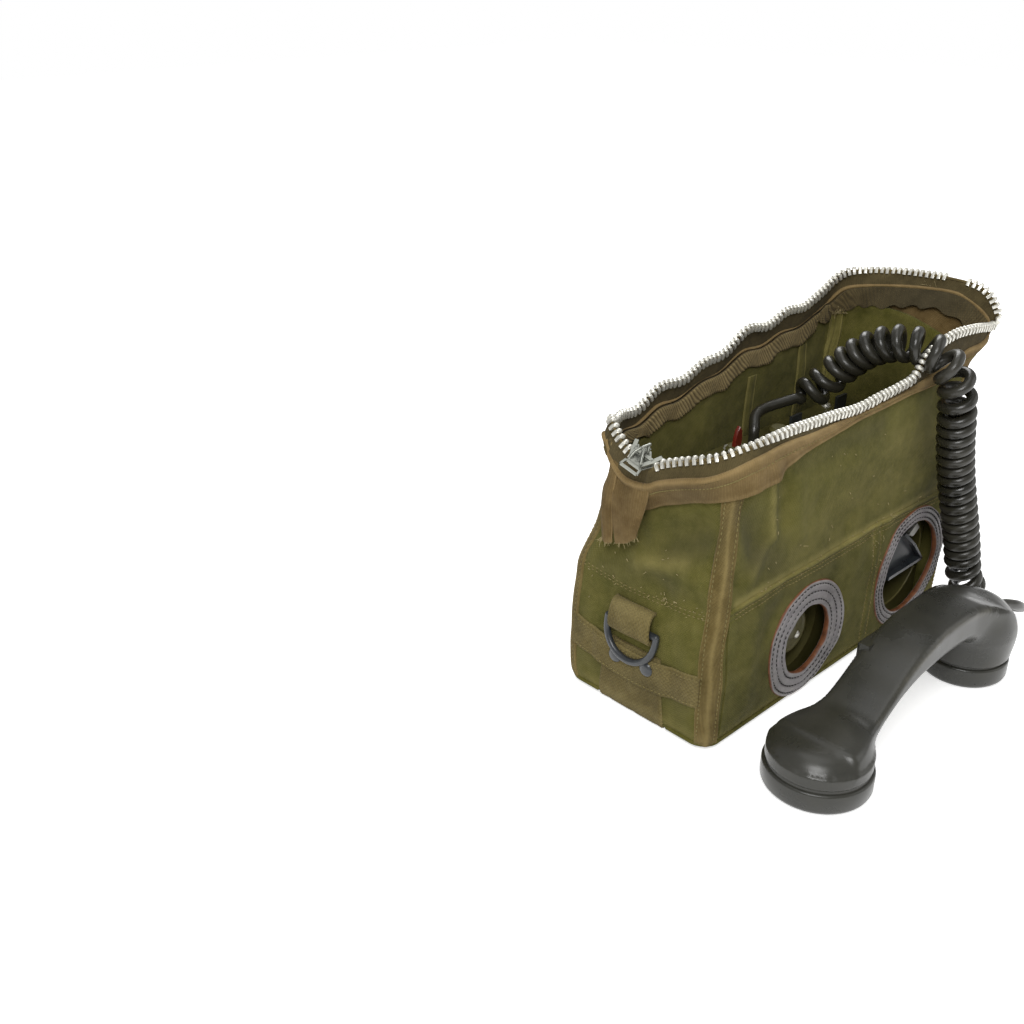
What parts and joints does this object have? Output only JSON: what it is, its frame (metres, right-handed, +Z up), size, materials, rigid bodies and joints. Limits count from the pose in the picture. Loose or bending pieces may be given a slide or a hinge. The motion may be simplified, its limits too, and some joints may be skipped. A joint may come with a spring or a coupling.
{
  "type": "field telephone",
  "caption": "Portable field telephone in an open zipped canvas case, with a hand crank and a handset on a curly cord.",
  "frame": {"origin": "middle of the canvas case's base, on the surface that it stands on", "axes": "+X along the case toward its taller end, -Y out of the front with the two round openings, +Z up"},
  "size_m": [0.3006, 0.2027, 0.2221],
  "materials": {
    "canvas": "worn olive canvas",
    "brown_tape": "woven brown tape",
    "webbing": "woven olive webbing",
    "grey_leather": "grey leather with tan cut edges",
    "nickel": "nickel plate",
    "black_steel": "black enamel",
    "bare_steel": "ground steel",
    "brass": "cut brass",
    "olive_moulding": "moulded olive plastic",
    "red_plastic": "red plastic",
    "black_rubber": "black rubber",
    "grey_rubber": "dark grey rubber",
    "inner_parts": "dark casing",
    "dark_moulding": "satin dark grey moulding"
  },
  "bodies": {
    "telephone_case": {"case_floor": "canvas", "case_front_panel": "canvas", "case_back_panel": "canvas", "case_left_end": "canvas", "case_right_end": "canvas", "front_reinforcement": "canvas", "case_bindings": "brown_tape", "zipper_tape_front": "brown_tape", "zipper_tape_back": "brown_tape", "zipper_end_tab": "brown_tape", "webbing_straps": "webbing", "d_ring_loops": "webbing", "small_leather_ring": "grey_leather", "large_leather_ring": "grey_leather", "zipper_teeth": "nickel", "zipper_slider": "nickel", "panel_screws": "nickel", "line_post_bases": "nickel", "rivets": "black_steel", "cradle_clips": "black_steel", "generator_frame": "bare_steel", "housing": "olive_moulding", "panel": "olive_moulding", "headset_receptacle": "olive_moulding", "gasket": "black_rubber", "panel_cord_gland": "black_rubber", "cord_lead_in": "grey_rubber", "curly_cord": "grey_rubber", "battery_holder": "inner_parts", "batteries": "inner_parts", "induction_coil": "inner_parts", "capacitor": "inner_parts", "buzzer": "inner_parts"},
    "crank": {"crank_arm": "black_steel", "crank_shaft": "bare_steel", "grip_pin": "bare_steel", "main_gear": "brass"},
    "crank_handle": {"crank_grip": "dark_moulding"},
    "armature": {"generator_rotor": "bare_steel", "rotor_pinion": "brass"},
    "buzzer_volume": {"buzzer_volume_control": "black_steel", "buzzer_screw": "nickel"},
    "left_ring": {"d_ring_left": "black_steel"},
    "right_ring": {"d_ring_right": "black_steel"},
    "slider_pull": {"zipper_pull": "nickel"},
    "left_post_cap": {"line_post_left_cap": "olive_moulding"},
    "right_post_cap": {"line_post_right_cap": "olive_moulding"},
    "selector": {"selector_knob": "olive_moulding"},
    "talk_switch": {"talk_switch_lever": "black_steel"},
    "hook_switch": {"hook_switch_plunger": "black_steel"},
    "socket_cap": {"receptacle_cap": "red_plastic"},
    "battery_door": {"battery_cover": "olive_moulding"},
    "handset": {"handset_shell": "dark_moulding", "receiver_cap": "dark_moulding", "receiver_capsule": "inner_parts", "transmitter_cap": "dark_moulding", "transmitter_capsule": "inner_parts", "handset_cord_gland": "black_rubber", "cord_lead_out": "grey_rubber"},
    "talk_bar": {"push_to_talk_bar": "dark_moulding"}
  },
  "joints": [
    {"name": "crank_spin", "type": "hinge", "parent": "telephone_case", "child": "crank", "pos_m": [0.082, -0.02, 0.047], "axis": [0, 1, 0], "continuous": true},
    {"name": "crank_grip_fold", "type": "hinge", "parent": "crank", "child": "crank_handle", "pos_m": [0.06438, -0.034, 0.06178], "axis": [-0.6428, 0, -0.766], "range_deg": [0, 90]},
    {"name": "armature_spin", "type": "hinge", "parent": "telephone_case", "child": "armature", "pos_m": [0.05075, 0.01, 0.047], "axis": [0, 1, 0], "continuous": true},
    {"name": "buzzer_volume_turn", "type": "hinge", "parent": "telephone_case", "child": "buzzer_volume", "pos_m": [-0.041, -0.037, 0.042], "axis": [0, 1, 0], "range_deg": [-50, 50]},
    {"name": "left_ring_swing", "type": "hinge", "parent": "telephone_case", "child": "left_ring", "pos_m": [-0.1376, 0.0026, 0.064], "axis": [0, 1, 0], "range_deg": [0, 120]},
    {"name": "right_ring_swing", "type": "hinge", "parent": "telephone_case", "child": "right_ring", "pos_m": [0.1376, 0.0026, 0.064], "axis": [0, -1, 0], "range_deg": [0, 120]},
    {"name": "slider_pull_swing", "type": "hinge", "parent": "telephone_case", "child": "slider_pull", "pos_m": [-0.133, 0.003, 0.1801], "axis": [1, 0, 0], "range_deg": [0, 150]},
    {"name": "left_post_press", "type": "slide", "parent": "telephone_case", "child": "left_post_cap", "axis": [0, 0, 1], "range_m": [-0.003, 0], "stiffness_N_per_m": 400, "springref_m": 0.002},
    {"name": "right_post_press", "type": "slide", "parent": "telephone_case", "child": "right_post_cap", "axis": [0, 0, 1], "range_m": [-0.003, 0], "stiffness_N_per_m": 400, "springref_m": 0.002},
    {"name": "selector_turn", "type": "hinge", "parent": "telephone_case", "child": "selector", "pos_m": [-0.048, -0.028, 0.128], "axis": [0, 0, 1], "range_deg": [0, 90]},
    {"name": "talk_switch_tilt", "type": "hinge", "parent": "telephone_case", "child": "talk_switch", "pos_m": [0.03, -0.028, 0.1238], "axis": [0, 1, 0], "range_deg": [-14, 14]},
    {"name": "hook_switch_press", "type": "slide", "parent": "telephone_case", "child": "hook_switch", "axis": [0, 0, 1], "range_m": [-0.004, 0], "stiffness_N_per_m": 200, "springref_m": 0.003},
    {"name": "socket_cap_lift", "type": "slide", "parent": "telephone_case", "child": "socket_cap", "axis": [0, 0, 1], "range_m": [0, 0.02]},
    {"name": "battery_door_lift", "type": "slide", "parent": "telephone_case", "child": "battery_door", "axis": [0, 0, 1], "range_m": [0, 0.02]},
    {"name": "handset_lift", "type": "slide", "parent": "telephone_case", "child": "handset", "axis": [0, -0.8, 0.6], "range_m": [0, 0.12], "deforming": ["curly_cord"]},
    {"name": "talk_bar_press", "type": "slide", "parent": "handset", "child": "talk_bar", "axis": [0, -1, 0], "range_m": [0, 0.0018], "stiffness_N_per_m": 400, "springref_m": -0.002}
  ],
  "couplings": [
    {"joint": "armature_spin", "follows": "crank_spin", "ratio": -4}
  ]
}
